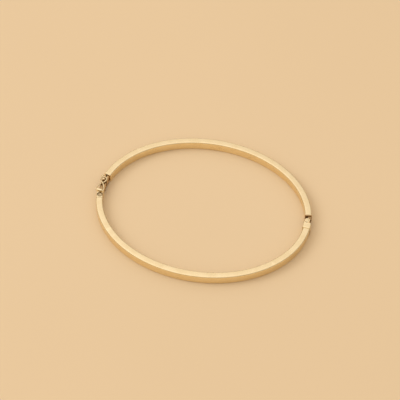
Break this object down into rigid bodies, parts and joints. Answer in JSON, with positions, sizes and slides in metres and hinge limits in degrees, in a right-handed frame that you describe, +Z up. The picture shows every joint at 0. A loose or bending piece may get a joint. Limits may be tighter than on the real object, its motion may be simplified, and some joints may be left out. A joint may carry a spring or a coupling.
{
  "type": "hinged bangle bracelet",
  "caption": "Oval gold-toned hinged bangle of two hollow half tubes, with a box clasp and a figure-eight wire safety catch.",
  "frame": {"origin": "middle of the bangle's bounding box, on the plane of its underside", "axes": "+X from the clasp to the hinge, +Y from the front half to the rear half, +Z up out of the oval, to the side of the safety catch"},
  "size_m": [0.0646, 0.0514, 0.0036],
  "materials": {
    "polished_gold": "polished gold",
    "satin_gold": "satin gold",
    "spring_gold": "rolled gold spring strip"
  },
  "bodies": {
    "front_half": {"front_tube": "polished_gold", "front_hinge_block": "polished_gold", "centre_hinge_knuckle": "satin_gold", "front_clasp_block": "polished_gold", "clasp_box": "satin_gold", "box_lip": "satin_gold", "safety_pivot_tube": "polished_gold"},
    "rear_half": {"rear_tube": "polished_gold", "rear_hinge_cap": "satin_gold", "hinge_arm": "satin_gold", "lower_hinge_knuckle": "satin_gold", "upper_hinge_knuckle": "polished_gold", "hinge_pin": "polished_gold", "rear_clasp_cap": "polished_gold", "tongue_block": "satin_gold", "tongue_plate": "spring_gold", "safety_stud": "polished_gold"},
    "tongue_catch": {"tongue_spring": "spring_gold", "thumb_button": "polished_gold"},
    "safety_catch": {"safety_wire": "polished_gold"}
  },
  "joints": [
    {"name": "main_hinge", "type": "hinge", "parent": "front_half", "child": "rear_half", "pos_m": [0.03083, 0.00245, 0.0015], "axis": [0, 0, -1], "range_deg": [0, 65]},
    {"name": "tongue_press", "type": "hinge", "parent": "rear_half", "child": "tongue_catch", "pos_m": [-0.0306, -0.0013, 0.00137], "axis": [0, 0, -1], "range_deg": [0, 4], "stiffness_Nm_per_rad": 0.016},
    {"name": "safety_swing", "type": "hinge", "parent": "front_half", "child": "safety_catch", "pos_m": [-0.03097, -0.00215, 0.003], "axis": [1, 0, 0], "range_deg": [0, 150]}
  ]
}
